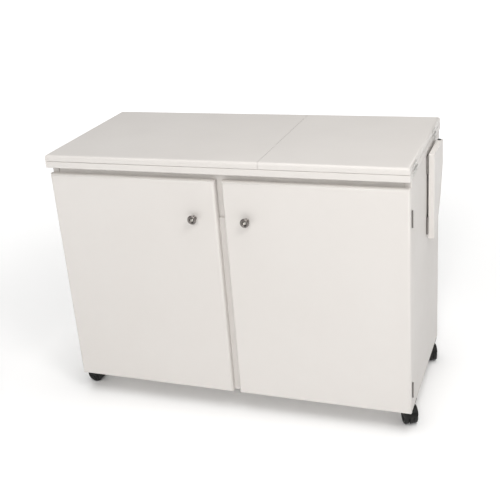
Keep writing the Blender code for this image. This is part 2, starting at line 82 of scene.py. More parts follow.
# ================================================================== node helpers
class Nodes:
    """Short hand for building one material's node tree."""

    def __init__(self, name):
        self.mat = bpy.data.materials.new(name)
        self.mat.use_nodes = True
        self.tree = self.mat.node_tree
        self.tree.nodes.clear()
        self.out = self.tree.nodes.new("ShaderNodeOutputMaterial")
        self.bsdf = self.tree.nodes.new("ShaderNodeBsdfPrincipled")
        self.link(self.bsdf.outputs[0], self.out.inputs["Surface"])
        self.coord = self.tree.nodes.new("ShaderNodeTexCoord").outputs["Object"]

    def link(self, a, b):
        self.tree.links.new(a, b)

    def put(self, socket, value):
        if isinstance(value, bpy.types.NodeSocket):
            self.link(value, socket)
        else:
            socket.default_value = value

    def scaled(self, sx, sy, sz, turn=(0.0, 0.0, 0.0)):
        n = self.tree.nodes.new("ShaderNodeMapping")
        self.link(self.coord, n.inputs["Vector"])
        n.inputs["Scale"].default_value = (sx, sy, sz)
        n.inputs["Rotation"].default_value = turn
        return n.outputs[0]

    def noise(self, scale, detail=2.0, rough=0.5, vector=None, distortion=0.0):
        n = self.tree.nodes.new("ShaderNodeTexNoise")
        self.link(vector or self.coord, n.inputs["Vector"])
        n.inputs["Scale"].default_value = scale
        n.inputs["Detail"].default_value = detail
        n.inputs["Roughness"].default_value = rough
        n.inputs["Distortion"].default_value = distortion
        return n.outputs["Fac"]

    def voronoi(self, scale, feature="F1", vector=None, output="Distance"):
        n = self.tree.nodes.new("ShaderNodeTexVoronoi")
        n.feature = feature
        self.link(vector or self.coord, n.inputs["Vector"])
        n.inputs["Scale"].default_value = scale
        return n.outputs[output]

    def ramp(self, fac, stops):
        n = self.tree.nodes.new("ShaderNodeValToRGB")
        self.link(fac, n.inputs["Fac"])
        ramp = n.color_ramp
        while len(ramp.elements) < len(stops):
            ramp.elements.new(0.5)
        for e, (pos, col) in zip(ramp.elements, stops):
            e.position = pos
            e.color = (*col, 1.0) if len(col) == 3 else col
        return n.outputs["Color"]

    def spread(self, fac, lo, hi, from_lo=0.0, from_hi=1.0):
        n = self.tree.nodes.new("ShaderNodeMapRange")
        self.link(fac, n.inputs["Value"])
        n.inputs["From Min"].default_value = from_lo
        n.inputs["From Max"].default_value = from_hi
        n.inputs["To Min"].default_value = lo
        n.inputs["To Max"].default_value = hi
        return n.outputs["Result"]

    def math(self, op, a, b=0.0):
        n = self.tree.nodes.new("ShaderNodeMath")
        n.operation = op
        self.put(n.inputs[0], a)
        self.put(n.inputs[1], b)
        return n.outputs[0]

    def mix(self, fac, a, b, blend="MIX"):
        n = self.tree.nodes.new("ShaderNodeMix")
        n.data_type = "RGBA"
        n.blend_type = blend
        self.put(n.inputs["Factor"], fac)
        for socket, value in ((n.inputs["A"], a), (n.inputs["B"], b)):
            if isinstance(value, bpy.types.NodeSocket):
                pass
        ins = [s for s in n.inputs if s.type == "RGBA"]
        for socket, value in zip(ins, (a, b)):
            if isinstance(value, bpy.types.NodeSocket):
                self.link(value, socket)
            else:
                socket.default_value = (*value, 1.0)
        return [s for s in n.outputs if s.type == "RGBA"][0]

    def bump(self, height, distance, strength=1.0, normal=None):
        n = self.tree.nodes.new("ShaderNodeBump")
        self.link(height, n.inputs["Height"])
        n.inputs["Distance"].default_value = distance
        n.inputs["Strength"].default_value = strength
        if normal is not None:
            self.link(normal, n.inputs["Normal"])
        return n.outputs["Normal"]

    def edge(self, radius, lo=0.02, hi=0.25):
        """0 on flat surfaces, rising to 1 on outer edges and corners."""
        b = self.tree.nodes.new("ShaderNodeBevel")
        b.samples = 4
        b.inputs["Radius"].default_value = radius
        g = self.tree.nodes.new("ShaderNodeNewGeometry")
        d = self.tree.nodes.new("ShaderNodeVectorMath")
        d.operation = "DOT_PRODUCT"
        self.link(b.outputs["Normal"], d.inputs[0])
        self.link(g.outputs["Normal"], d.inputs[1])
        inv = self.math("SUBTRACT", 1.0, d.outputs["Value"])
        return self.spread(inv, 0.0, 1.0, lo, hi)

    def finish(self, colour, rough, normal=None, metallic=0.0, **constants):
        self.put(self.bsdf.inputs["Base Color"], colour if isinstance(colour, bpy.types.NodeSocket) else (*colour, 1.0))
        self.put(self.bsdf.inputs["Roughness"], rough)
        self.bsdf.inputs["Metallic"].default_value = metallic
        if normal is not None:
            self.link(normal, self.bsdf.inputs["Normal"])
        for key, value in constants.items():
            self.bsdf.inputs[key.replace("_", " ")].default_value = value
        return self.mat


# ================================================================== materials
def shaded(factor, colour):
    return tuple(min(0.93, c * factor) for c in colour)


def laminate(name, wrapped, shade=1.0):
    """Warm white laminate: faint mottling, a fine pebbled skin, lightly handled edges. Wrapped fronts are smoother and
    a little glossier. A shade above 1 lightens every colour, which is painted light.
    """
    n = Nodes(name)
    cloud = n.noise(2.1, 4.0, 0.55)
    mottle = n.noise(38.0, 3.0, 0.6)
    skin = n.noise(620.0 if wrapped else 880.0, 2.0, 0.5)
    base = n.ramp(cloud, [(0.30, shaded(shade, (0.676, 0.646, 0.618))), (0.72, shaded(shade, (0.699, 0.672, 0.647)))])
    fleck = n.spread(mottle, 0.0, 0.09, 0.35, 0.75)
    tone = n.mix(fleck, base, shaded(shade, (0.630, 0.607, 0.582)))
    rub = n.noise(70.0, 5.0, 0.7)
    edge = n.math("MULTIPLY", n.edge(0.0012), n.spread(rub, 0.0, 0.55, 0.42, 0.66))
    colour = n.mix(edge, tone, shaded(shade, (0.589, 0.565, 0.536)))
    rough = n.spread(n.noise(9.0, 5.0, 0.6), 0.36 if wrapped else 0.43, 0.47 if wrapped else 0.56, 0.3, 0.7)
    wave = n.noise(16.0, 2.0, 0.5)
    normal = n.bump(skin, 0.00006, 0.35 if wrapped else 0.55)
    normal = n.bump(wave, 0.0006, 0.06, normal)
    return n.finish(colour, rough, normal, IOR=1.47)


def brushed_steel(name, dark, light, lo, hi, grain=(60.0, 60.0, 900.0), metallic=1.0):
    """Plated sheet steel with a drawn grain, fine pits and rubbed edges."""
    n = Nodes(name)
    streak = n.noise(1.0, 4.0, 0.6, n.scaled(*grain))
    cloud = n.noise(55.0, 3.0, 0.55)
    pits = n.voronoi(900.0)
    tone = n.ramp(n.math("ADD", n.math("MULTIPLY", streak, 0.5), n.math("MULTIPLY", cloud, 0.5)),
                  [(0.32, dark), (0.68, light)])
    worn = n.math("MULTIPLY", n.edge(0.0005), 0.5)
    colour = n.mix(worn, tone, tuple(min(1.0, c * 1.35) for c in light))
    rough = n.spread(streak, lo, hi, 0.3, 0.7)
    normal = n.bump(streak, 0.00004, 0.30)
    normal = n.bump(pits, 0.00003, 0.20, normal)
    return n.finish(colour, rough, normal, metallic)


def knob_metal():
    """Satin nickel, turned: fine rings round the knob's axis and slightly cloudy plating. Its base colour is darkened
    to stand for the dark surroundings it reflects, a painted reflection.
    """
    n = Nodes("knob_satin_nickel")
    cloud = n.noise(140.0, 4.0, 0.55)
    rings = n.noise(1.0, 2.0, 0.5, n.scaled(40.0, 2600.0, 40.0))
    # painted reflection: the nickel's colour is kept dark in place of the dark room it would mirror
    tone = n.ramp(cloud, [(0.32, (0.165, 0.150, 0.140)), (0.70, (0.255, 0.235, 0.222))])
    worn = n.math("MULTIPLY", n.edge(0.0007), 0.7)
    colour = n.mix(worn, tone, (0.52, 0.49, 0.46))
    rough = n.spread(rings, 0.26, 0.38, 0.3, 0.7)
    return n.finish(colour, rough, n.bump(rings, 0.00004, 0.35), 1.0)


def screw_metal():
    """Bright zinc-plated screw heads with a faintly yellow, patchy plating."""
    n = Nodes("screw_zinc")
    patch = n.noise(420.0, 4.0, 0.6)
    tone = n.ramp(patch, [(0.30, (0.50, 0.48, 0.44)), (0.70, (0.74, 0.72, 0.68))])
    rough = n.spread(patch, 0.22, 0.36, 0.3, 0.7)
    return n.finish(tone, rough, n.bump(n.noise(2400.0, 2.0), 0.00003, 0.25), 1.0)


def black_nylon(name, lo, hi, dust):
    """Moulded black nylon: fine spark-eroded texture, scuffed and slightly dusty edges."""
    n = Nodes(name)
    cloud = n.noise(60.0, 4.0, 0.6)
    tone = n.ramp(cloud, [(0.30, (0.0085, 0.0083, 0.0080)), (0.72, (0.0175, 0.0168, 0.0160))])
    scuff = n.math("MULTIPLY", n.edge(0.0010), n.spread(n.noise(260.0, 4.0, 0.7), 0.0, dust, 0.40, 0.65))
    colour = n.mix(scuff, tone, (0.085, 0.080, 0.074))
    rough = n.spread(cloud, lo, hi, 0.3, 0.7)
    normal = n.bump(n.noise(1500.0, 2.0, 0.5), 0.00005, 0.45)
    n.bsdf.inputs["Specular IOR Level"].default_value = 0.24
    return n.finish(colour, rough, normal, IOR=1.50)


def rolling_black():
    """Wheel tread and hubs: black nylon polished by rolling, with grey floor dust in fine streaks round the axle."""
    n = Nodes("wheel_nylon")
    cloud = n.noise(90.0, 4.0, 0.6)
    fine = n.voronoi(520.0)
    tone = n.ramp(cloud, [(0.30, (0.0080, 0.0080, 0.0078)), (0.72, (0.0190, 0.0183, 0.0175))])
    dust = n.spread(n.noise(35.0, 6.0, 0.7), 0.0, 0.45, 0.50, 0.78)
    colour = n.mix(dust, tone, (0.055, 0.052, 0.048))
    rough = n.spread(cloud, 0.34, 0.52, 0.3, 0.7)
    n.bsdf.inputs["Specular IOR Level"].default_value = 0.24
    return n.finish(colour, rough, n.bump(fine, 0.00005, 0.30), IOR=1.50)


def rubber():
    n = Nodes("bumper_rubber")
    grit = n.noise(900.0, 3.0, 0.6)
    tone = n.ramp(n.noise(180.0, 4.0, 0.6), [(0.3, (0.010, 0.010, 0.010)), (0.75, (0.024, 0.023, 0.022))])
    return n.finish(tone, n.spread(grit, 0.70, 0.88, 0.3, 0.7), n.bump(grit, 0.00008, 0.6), IOR=1.52)


def galvanised():
    """Galvanised lift steel: interlocking crystal patches, each a slightly different grey."""
    n = Nodes("lift_galvanised")
    spangle = n.voronoi(95.0, output="Color")
    grey = n.tree.nodes.new("ShaderNodeRGBToBW")
    n.link(spangle, grey.inputs[0])
    tone = n.ramp(grey.outputs[0], [(0.10, (0.36, 0.37, 0.38)), (0.90, (0.56, 0.57, 0.58))])
    rough = n.spread(grey.outputs[0], 0.34, 0.50, 0.1, 0.9)
    return n.finish(tone, rough, n.bump(n.noise(260.0, 3.0), 0.00005, 0.3), 1.0)


def painted_cylinder():
    """Gloss black enamel with orange peel."""
    n = Nodes("cylinder_enamel")
    peel = n.noise(700.0, 2.0, 0.5)
    tone = n.ramp(n.noise(25.0, 4.0), [(0.3, (0.010, 0.010, 0.011)), (0.7, (0.016, 0.016, 0.017))])
    return n.finish(tone, n.spread(n.noise(60.0, 4.0), 0.20, 0.32, 0.3, 0.7), n.bump(peel, 0.00005, 0.35),
                    IOR=1.50, Coat_Weight=0.25, Coat_Roughness=0.08)


def chrome():
    n = Nodes("rod_hard_chrome")
    lines = n.noise(1.0, 3.0, 0.6, n.scaled(30.0, 30.0, 2200.0))
    tone = n.ramp(n.noise(40.0, 3.0), [(0.3, (0.58, 0.59, 0.61)), (0.7, (0.66, 0.67, 0.69))])
    return n.finish(tone, n.spread(lines, 0.07, 0.15, 0.3, 0.7), n.bump(lines, 0.00002, 0.2), 1.0)


WRAPPED = laminate("laminate_wrapped", True)
FLAT = laminate("laminate_flat", False)
# painted light: the apron's laminate is lightened by a tenth to stand for light reaching into the recess under the deck
APRON_PAINTED_LIGHT = laminate("laminate_apron_painted_light", False, 1.10)
HINGE = brushed_steel("hinge_plated_steel", (0.200, 0.188, 0.176), (0.330, 0.312, 0.295), 0.30, 0.46)
BRIGHT = brushed_steel("hinge_bright_zinc", (0.50, 0.49, 0.47), (0.68, 0.67, 0.65), 0.40, 0.56, metallic=0.55)
PLATE = brushed_steel("caster_black_steel", (0.012, 0.012, 0.012), (0.030, 0.029, 0.028), 0.34, 0.50,
                      (700.0, 60.0, 60.0), metallic=0.4)
KNOB = knob_metal()
SCREW = screw_metal()
NYLON = black_nylon("caster_nylon", 0.30, 0.46, 0.5)
WHEEL = rolling_black()
RUBBER = rubber()
LIFT = galvanised()
ENAMEL = painted_cylinder()
CHROME = chrome()


# ================================================================== mesh helpers
def prism(outline, lo, hi, axis="z"):
    """Solid from a closed 2-D outline. The outline's plane is (y, z) for x, (x, z) for y and (x, y) for z."""
    place = {"x": lambda p, h: (h, p[0], p[1]), "y": lambda p, h: (p[0], h, p[1]),
             "z": lambda p, h: (p[0], p[1], h)}[axis]
    bm = bmesh.new()
    a = [bm.verts.new(place(p, lo)) for p in outline]
    b = [bm.verts.new(place(p, hi)) for p in outline]
    bm.faces.new(a)
    bm.faces.new(b[::-1])
    for i in range(len(outline)):
        j = (i + 1) % len(outline)
        bm.faces.new((a[j], a[i], b[i], b[j]))
    bmesh.ops.recalc_face_normals(bm, faces=bm.faces)
    return bm


def rounded_outline(x0, y0, x1, y1, r, corners, steps):
    """Rectangle with some corners rounded; corners from sw, se, ne, nw."""
    points = []
    for name, cx, cy, start in (("sw", x0, y0, 180), ("se", x1, y0, 270), ("ne", x1, y1, 0), ("nw", x0, y1, 90)):
        if name not in corners:
            points.append((cx, cy))
            continue
        ox = cx + r if "w" in name else cx - r
        oy = cy + r if "s" in name else cy - r
        for i in range(steps + 1):
            a = math.radians(start + 90 * i / steps)
            points.append((ox + r * math.cos(a), oy + r * math.sin(a)))
    return points


def rim(bm, axis, level):
    """Edges that lie wholly at one level along an axis."""
    return [e for e in bm.edges if all(abs(v.co[axis] - level) < 1e-6 for v in e.verts)]


def soften(bm, edges, radius, segments):
    bmesh.ops.bevel(bm, geom=edges, offset=radius, offset_type="OFFSET", segments=segments,
                    profile=0.5, affect="EDGES", clamp_overlap=False)


def lathe(profile, segments, axis="z"):
    """Closed turned solid from (radius, height) points; the first and last are on the axis."""
    bm = bmesh.new()
    rings = []
    for r, h in profile:
        if r < 1e-7:
            rings.append([bm.verts.new((0.0, 0.0, h))])
        else:
            rings.append([bm.verts.new((r * math.cos(2 * math.pi * k / segments),
                                        r * math.sin(2 * math.pi * k / segments), h))
                          for k in range(segments)])
    for a, b in zip(rings, rings[1:]):
        for k in range(segments):
            m = (k + 1) % segments
            if len(a) == 1 and len(b) == 1:
                continue
            if len(a) == 1:
                bm.faces.new((a[0], b[k], b[m]))
            elif len(b) == 1:
                bm.faces.new((a[k], b[0], a[m]))
            else:
                bm.faces.new((a[k], b[k], b[m], a[m]))
    if axis == "y":
        bmesh.ops.transform(bm, matrix=Matrix.Rotation(math.pi / 2, 4, "X"), verts=bm.verts)
    bmesh.ops.recalc_face_normals(bm, faces=bm.faces)
    return bm


def mesh_of(name, bm, sharp=35.0):
    bmesh.ops.recalc_face_normals(bm, faces=bm.faces)
    mesh = bpy.data.meshes.new(name)
    bm.to_mesh(mesh)
    bm.free()
    mesh.shade_smooth()
    mesh.set_sharp_from_angle(angle=math.radians(sharp))
    return mesh


def show(name, mesh, material, body, matrix=None, replaces=(), weighted=False):
    """Links a piece, gives it its finish and lets it ride on its body."""
    obj = bpy.data.objects.new(name, mesh)
    SCENE.collection.objects.link(obj)
    if not mesh.materials:
        mesh.materials.append(material)
    if matrix is not None:
        obj.matrix_world = matrix
    if weighted:
        w = obj.modifiers.new("weighted_normals", "WEIGHTED_NORMAL")
        w.keep_sharp = True
        w.weight = 100
    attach(obj, body)
    if replaces:
        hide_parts(*replaces)
    return obj


def joined(parts):
    """One bmesh from several (bmesh, matrix) solids."""
    whole = bmesh.new()
    for bm, matrix in parts:
        if matrix is not None:
            bmesh.ops.transform(bm, matrix=matrix, verts=bm.verts)
        mesh = bpy.data.meshes.new("part")
        bm.to_mesh(mesh)
        bm.free()
        whole.from_mesh(mesh)
        bpy.data.meshes.remove(mesh)
    return whole


def carved(name, base, cutters):
    """base with each cutter taken out by an exact boolean; returns a mesh."""
    def temp(bm, label):
        mesh = bpy.data.meshes.new(label)
        bmesh.ops.recalc_face_normals(bm, faces=bm.faces)
        bm.to_mesh(mesh)
        bm.free()
        obj = bpy.data.objects.new(label, mesh)
        SCENE.collection.objects.link(obj)
        return obj
    block = temp(base, name + "_block")
    tools = [temp(c, name + "_tool") for c in cutters]
    for tool in tools:
        mod = block.modifiers.new("cut", "BOOLEAN")
        mod.operation = "DIFFERENCE"
        mod.solver = "EXACT"
        mod.object = tool
    bpy.context.view_layer.update()
    graph = bpy.context.evaluated_depsgraph_get()
    mesh = bpy.data.meshes.new_from_object(block.evaluated_get(graph))
    mesh.name = name
    for obj in [block] + tools:
        bpy.data.objects.remove(obj, do_unlink=True)
    return mesh


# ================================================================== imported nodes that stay
def soft_shading_group(limit):
    """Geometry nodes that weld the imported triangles, drop their stored normals and shade them smooth below an angle."""
    tree = bpy.data.node_groups.new("weld_and_smooth", "GeometryNodeTree")
    tree.interface.new_socket("Geometry", in_out="INPUT", socket_type="NodeSocketGeometry")
    tree.interface.new_socket("Geometry", in_out="OUTPUT", socket_type="NodeSocketGeometry")
    new, link = tree.nodes.new, tree.links.new
    source, sink = new("NodeGroupInput"), new("NodeGroupOutput")
    merge = new("GeometryNodeMergeByDistance")
    merge.inputs["Distance"].default_value = 0.00001
    drop = new("GeometryNodeRemoveAttribute")
    drop.inputs["Name"].default_value = "custom_normal"
    faces = new("GeometryNodeSetShadeSmooth")
    faces.domain = "FACE"
    faces.inputs["Shade Smooth"].default_value = True
    clear = new("GeometryNodeSetShadeSmooth")
    clear.domain = "EDGE"
    clear.inputs["Shade Smooth"].default_value = True
    angle = new("GeometryNodeInputMeshEdgeAngle")
    over = new("FunctionNodeCompare")
    over.data_type = "FLOAT"
    over.operation = "GREATER_THAN"
    over.inputs[1].default_value = math.radians(limit)
    link(angle.outputs["Unsigned Angle"], over.inputs[0])
    crease = new("GeometryNodeSetShadeSmooth")
    crease.domain = "EDGE"
    crease.inputs["Shade Smooth"].default_value = False
    link(over.outputs["Result"], crease.inputs["Selection"])
    chain = [source, merge, drop, faces, clear, crease, sink]
    for a, b in zip(chain, chain[1:]):
        link(a.outputs[0], b.inputs[0])
    return tree


WELD = soft_shading_group(38.0)


def keep(name, material, bevel=0.0, segments=2):
    """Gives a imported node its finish, welds it, and softens its edges a little. Its mesh stays as packed."""
    obj = NODES[name]
    for s in obj.material_slots:
        s.material = material
    group = obj.modifiers.new("weld_and_smooth", "NODES")
    group.node_group = WELD
    if bevel:
        flat = obj.modifiers.new("merge_flat_faces", "DECIMATE")
        flat.decimate_type = "DISSOLVE"
        flat.angle_limit = math.radians(1.0)
        b = obj.modifiers.new("soft_edges", "BEVEL")
        b.width = bevel
        b.segments = segments
        b.limit_method = "ANGLE"
        b.angle_limit = math.radians(38.0)
        b.use_clamp_overlap = True
        w = obj.modifiers.new("weighted_normals", "WEIGHTED_NORMAL")
        w.keep_sharp = True


for board in ("left_side_panel", "right_side_panel", "bottom_panel", "back_panel",
              "lift_partition", "lift_platform", "left_door_batten"):
    keep(board, FLAT, 0.0004)
# the apron takes the lightened laminate: painted light in the recess above the doors
keep("front_apron", APRON_PAINTED_LIGHT, 0.0004)
for name in NODES:
    if name.endswith("_leaf") and "hinge" in name:
        keep(name, BRIGHT if "_lid_" in name else HINGE)
for name in ("left_lift_rail", "right_lift_rail", "lift_carriage"):
    keep(name, LIFT, 0.0003)


# ================================================================== doors, lid, deck, wings
def box_of(name):
    lo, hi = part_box(name)
    return lo, hi


for side, s in (("left", -1), ("right", 1)):
    lo, hi = box_of(side + "_door")
    bm = prism([(lo.x, lo.z), (hi.x, lo.z), (hi.x, hi.z), (lo.x, hi.z)], lo.y, hi.y, "y")
    soften(bm, rim(bm, 1, lo.y), DOOR_ROUND, 8)
    soften(bm, rim(bm, 1, hi.y), 0.0010, 2)
    show(side + "_door_front", mesh_of(side + "_door_front", bm, 50.0), WRAPPED, side + "_door_body",
         replaces=[side + "_door"], weighted=True)

    lo, hi = box_of(side + "_lid_leaf")
    bm = prism([(lo.x, lo.y), (hi.x, lo.y), (hi.x, hi.y), (lo.x, hi.y)], lo.z, hi.z)
    seam = hi.x if s < 0 else lo.x
    for level, radius, segments in ((hi.z, LID_ROUND, 8), (lo.z, RIM, 3)):
        soften(bm, [e for e in rim(bm, 2, level) if any(abs(v.co.x - seam) > 1e-6 for v in e.verts)], radius, segments)
    show(side + "_lid_top", mesh_of(side + "_lid_top", bm, 50.0), WRAPPED, side + "_lid_body",
         replaces=[side + "_lid_leaf"], weighted=True)

lo, hi = box_of("deck_panel")
bm = prism([(lo.x, lo.y), (hi.x, lo.y), (hi.x, hi.y), (lo.x, hi.y)], lo.z, hi.z)
soften(bm, rim(bm, 2, lo.z), 0.003, 5)
soften(bm, rim(bm, 2, hi.z), RIM, 3)
plat_lo, plat_hi = box_of("lift_platform")
well = (plat_lo.x - 0.008, plat_lo.y - 0.008, plat_hi.x + 0.008, plat_hi.y + 0.008)
cut = prism(rounded_outline(*well, WELL_CORNER, ("sw", "se", "ne", "nw"), 8), lo.z - 0.01, hi.z + 0.01)
deck_mesh = carved("deck_board", bm, [cut])
deck_mesh.shade_smooth()
deck_mesh.set_sharp_from_angle(angle=math.radians(50.0))
show("deck_board", deck_mesh, WRAPPED, "cabinet", replaces=["deck_panel"], weighted=True)


def wing_outline(y0, y1, top, bottom, end_bottom):
    points = [(y0, top - 0.0015), (y0, bottom + 0.005)]
    for i in range(1, 6):
        a = math.radians(180 + 90 * i / 5)
        points.append((y0 + 0.005 + 0.005 * math.cos(a), bottom + 0.005 + 0.005 * math.sin(a)))
    start, end = Vector((y0 + 0.020, bottom)), Vector((y1, end_bottom))
    knee = Vector((y1 - 0.035, bottom + 0.050))
    for i in range(25):
        t = i / 24
        p = start * (1 - t) ** 2 + knee * 2 * t * (1 - t) + end * t ** 2
        points.append((p.x, p.y))
    for i in range(7):
        a = math.radians(90 * i / 6)
        points.append((y1 - 0.008 + 0.008 * math.cos(a), top - 0.008 + 0.008 * math.sin(a)))
    points.append((y0 + 0.0015, top))
    return points


for side in ("left", "right"):
    lo, hi = box_of(side + "_support_wing")
    outline = wing_outline(lo.y, hi.y, hi.z, lo.z, lo.z + 0.177)
    bm = prism(outline, lo.x, hi.x, "x")
    soften(bm, rim(bm, 0, lo.x) + rim(bm, 0, hi.x), 0.0015, 4)
    show(side + "_wing_board", mesh_of(side + "_wing_board", bm, 50.0), WRAPPED, side + "_wing_body",
         replaces=[side + "_support_wing"], weighted=True)
    lo, hi = box_of(side + "_wing_bumper")
    r, c = (hi.x - lo.x) / 2, (lo + hi) / 2
    h = hi.z - lo.z
    profile = [(0, 0), (r - 0.0004, 0), (r, 0.0004), (r, h * 0.30), (r * 0.97, h * 0.55), (r * 0.88, h * 0.78),
               (r * 0.72, h * 0.92), (r * 0.50, h * 0.985), (r * 0.25, h), (0, h)]
    show(side + "_wing_foot", mesh_of(side + "_wing_foot", lathe(profile, 32)), RUBBER, side + "_wing_body",
         Matrix.Translation((c.x, c.y, lo.z)), [side + "_wing_bumper"])


# ================================================================== screws
def screw_head(name, radius, height, recess, arm):
    """Domed head with a cross recess, its base at height 0 and its axis along +Z."""
    steps = 6
    profile = [(0, 0), (radius, 0), (radius, height * 0.22)]
    for i in range(1, steps + 1):
        a = math.radians(90 * i / steps)
        profile.append((radius * (0.35 + 0.65 * math.cos(a)) if i < steps else radius * 0.35,
                        height * (0.22 + 0.78 * math.sin(a))))
    profile.append((0, height))
    top = height + 0.001
    cutters = []
    for w, l in ((arm, radius * 0.62), (radius * 0.62, arm)):
        outline = [(-l, -w), (l, -w), (l, w), (-l, w)]
        cutters.append(prism(outline, height - recess, top))
    mesh = carved(name, lathe(profile, 28), cutters)
    mesh.shade_smooth()
    mesh.set_sharp_from_angle(angle=math.radians(30.0))
    return mesh


def from_mesh(mesh):
    bm = bmesh.new()
    bm.from_mesh(mesh)
    return bm


def pointing(direction, turn=0.0):
    """Rotation that takes +Z to a direction, turned about it."""
    q = Vector((0, 0, 1)).rotation_difference(Vector(direction))
    return q.to_matrix().to_4x4() @ Matrix.Rotation(turn, 4, "Z")


def screws(name, head, spots, body, matrix):
    """Several heads as one piece; spots are (point, direction, turn) in the local frame."""
    parts = [(from_mesh(head), Matrix.Translation(p) @ pointing(d, t)) for p, d, t in spots]
    mesh = mesh_of(name, joined(parts), 30.0)
    return show(name, mesh, SCREW, body, matrix)


def turned(x_to, y_to, z_to):
    return Matrix((x_to, y_to, z_to)).transposed().to_4x4()


HEADS = {kind: screw_head("head_" + kind, 0.0030, spec[5], spec[5] * 0.75, 0.00045) for kind, spec in HINGES.items()}


def hinge_screws(label, kind, matrix, moving_turn, fixed_body, moving_body):
    t, folded, width, length, barrel, height = HINGES[kind]
    inner = folded / 2 - t
    places = [(-width * 0.64, 0.30), (-width * 0.42, 0.0), (-width * 0.64, -0.30)]
    for which, sign, body, turn in (("fixed", 1, fixed_body, 0.0), ("moving", -1, moving_body, moving_turn)):
        spots = [((x, sign * inner, z * length), (0, -sign, 0), 0.7 + 1.3 * i) for i, (x, z) in enumerate(places)]
        screws(label + "_" + which + "_screws", HEADS[kind], spots, body,
               matrix @ Matrix.Rotation(math.radians(turn), 4, "Z"))


for side, s in (("left", -1), ("right", 1)):
    door = JOINTS[side + "_door_hinge"]["pos_m"]
    wing = JOINTS[side + "_wing_hinge"]["pos_m"]
    lid = JOINTS[side + "_lid_hinge"]["pos_m"]
    for level in ("lower", "upper"):
        label = side + "_door_" + level + "_hinge"
        lo, hi = box_of(label + "_fixed_leaf")
        turn = Matrix.Identity(4) if s > 0 else Matrix.Rotation(math.pi, 4, "Y")
        hinge_screws(label, "door", Matrix.Translation((door[0], door[1], (lo.z + hi.z) / 2)) @ turn, 0.0,
                     "cabinet", side + "_door_body")
        label = side + "_wing_" + level + "_hinge"
        lo, hi = box_of(label + "_fixed_leaf")
        turn = Matrix.Rotation(math.radians(-90), 4, "Z")
        if s > 0:
            turn = turn @ Matrix.Rotation(math.pi, 4, "X")
        hinge_screws(label, "wing", Matrix.Translation((wing[0], wing[1], (lo.z + hi.z) / 2)) @ turn, 0.0,
                     "cabinet", side + "_wing_body")
    for place in ("front", "rear"):
        label = side + "_lid_" + place + "_hinge"
        lo, hi = box_of(label + "_fixed_leaf")
        turn = turned((0, 0, 1), (-s, 0, 0), (0, -s, 0))
        hinge_screws(label, "lid", Matrix.Translation((lid[0], (lo.y + hi.y) / 2, lid[2])) @ turn, 180.0,
                     "cabinet", side + "_lid_body")


# ================================================================== knobs
KNOB_PROFILE = [(0, 0.0003), (0.0066, 0.0003), (0.0069, 0.0005), (0.0070, 0.0010), (0.0068, 0.0014), (0.0060, 0.0020),
                (0.0052, 0.0029), (0.0048, 0.0042), (0.0047, 0.0058), (0.0049, 0.0074), (0.0056, 0.0090),
                (0.0068, 0.0104), (0.0084, 0.0117), (0.0101, 0.0130), (0.0114, 0.0143), (0.0122, 0.0158),
                (0.0125, 0.0173), (0.0125, 0.0184), (0.0122, 0.0195), (0.0116, 0.0204), (0.0108, 0.0210),
                (0.0098, 0.0213), (0.0086, 0.0213), (0.0075, 0.0209), (0.0067, 0.0203), (0.0062, 0.0195),
                (0.0060, 0.0186), (0.0059, 0.0172), (0.0056, 0.0169), (0, 0.0169)]
knob_mesh = mesh_of("door_knob_turned", lathe(KNOB_PROFILE, 72, "y"), 40.0)
knob_screw = screw_head("knob_screw_head", 0.0050, 0.0038, 0.0020, 0.00075)
for side in ("left", "right"):
    lo, hi = box_of(side + "_door_knob")
    place = Matrix.Translation(((lo.x + hi.x) / 2, hi.y + G, (lo.z + hi.z) / 2))
    show(side + "_knob_turned", knob_mesh, KNOB, side + "_door_body", place, [side + "_door_knob"])
    bm = from_mesh(knob_screw)
    mesh = mesh_of(side + "_knob_screw", joined([(bm, Matrix.Translation((0, -0.0169, 0)) @
                                                   pointing((0, -1, 0), 0.5 if side == "left" else 0.9))]), 30.0)
    show(side + "_knob_screw", mesh, SCREW, side + "_door_body", place)


# ================================================================== casters
WHEEL_R = 0.025


def wheel_half(y_in, y_out, segments=72):
    """One wheel of the twin pair as a closed solid: flat tread, rounded shoulder, dished face with spokes, hub cap."""
    face = [(0.0, -0.0004), (0.0030, -0.0005), (0.0052, -0.0010), (0.0060, -0.0022), (0.0075, -0.0030),
            (0.0100, -0.0031), (0.0125, -0.0031), (0.0150, -0.0030), (0.0163, -0.0018), (0.0172, -0.0004),
            (0.0190, 0.0), (0.0212, -0.0002), (0.0230, -0.0010), (0.0242, -0.0022), (0.0248, -0.0036)]
    profile = [(r, y_out + d, True) for r, d in face]
    mid = (y_in + y_out - 0.003) / 2
    profile += [(WHEEL_R, y_out - 0.0055, False), (WHEEL_R, mid, False), (WHEEL_R, y_in + 0.0022, False),
                (0.0247, y_in + 0.0010, False), (0.0240, y_in + 0.0002, False), (0.0220, y_in, False),
                (0.0, y_in, False)]
    bm = bmesh.new()
    rings = []
    for r, y, outer in profile:
        if r == 0.0:
            rings.append([bm.verts.new((0, y, 0))])
            continue
        ring = []
        for k in range(segments):
            a = 2 * math.pi * k / segments
            lift = 0.0
            if outer and 0.0070 < r < 0.0160:
                spoke = max(0.0, math.cos(3 * a)) ** 10 + max(0.0, math.cos(3 * a + math.pi)) ** 10
                lift = 0.0022 * min(1.0, spoke * 1.6)
            ring.append(bm.verts.new((r * math.cos(a), y + lift, r * math.sin(a))))
        rings.append(ring)
    for a, b in zip(rings, rings[1:]):
        for k in range(segments):
            m = (k + 1) % segments
            if len(a) == 1:
                bm.faces.new((a[0], b[k], b[m]))
            elif len(b) == 1:
                bm.faces.new((a[k], b[0], a[m]))
            else:
                bm.faces.new((a[k], b[k], b[m], a[m]))
    bmesh.ops.recalc_face_normals(bm, faces=bm.faces)
    return bm


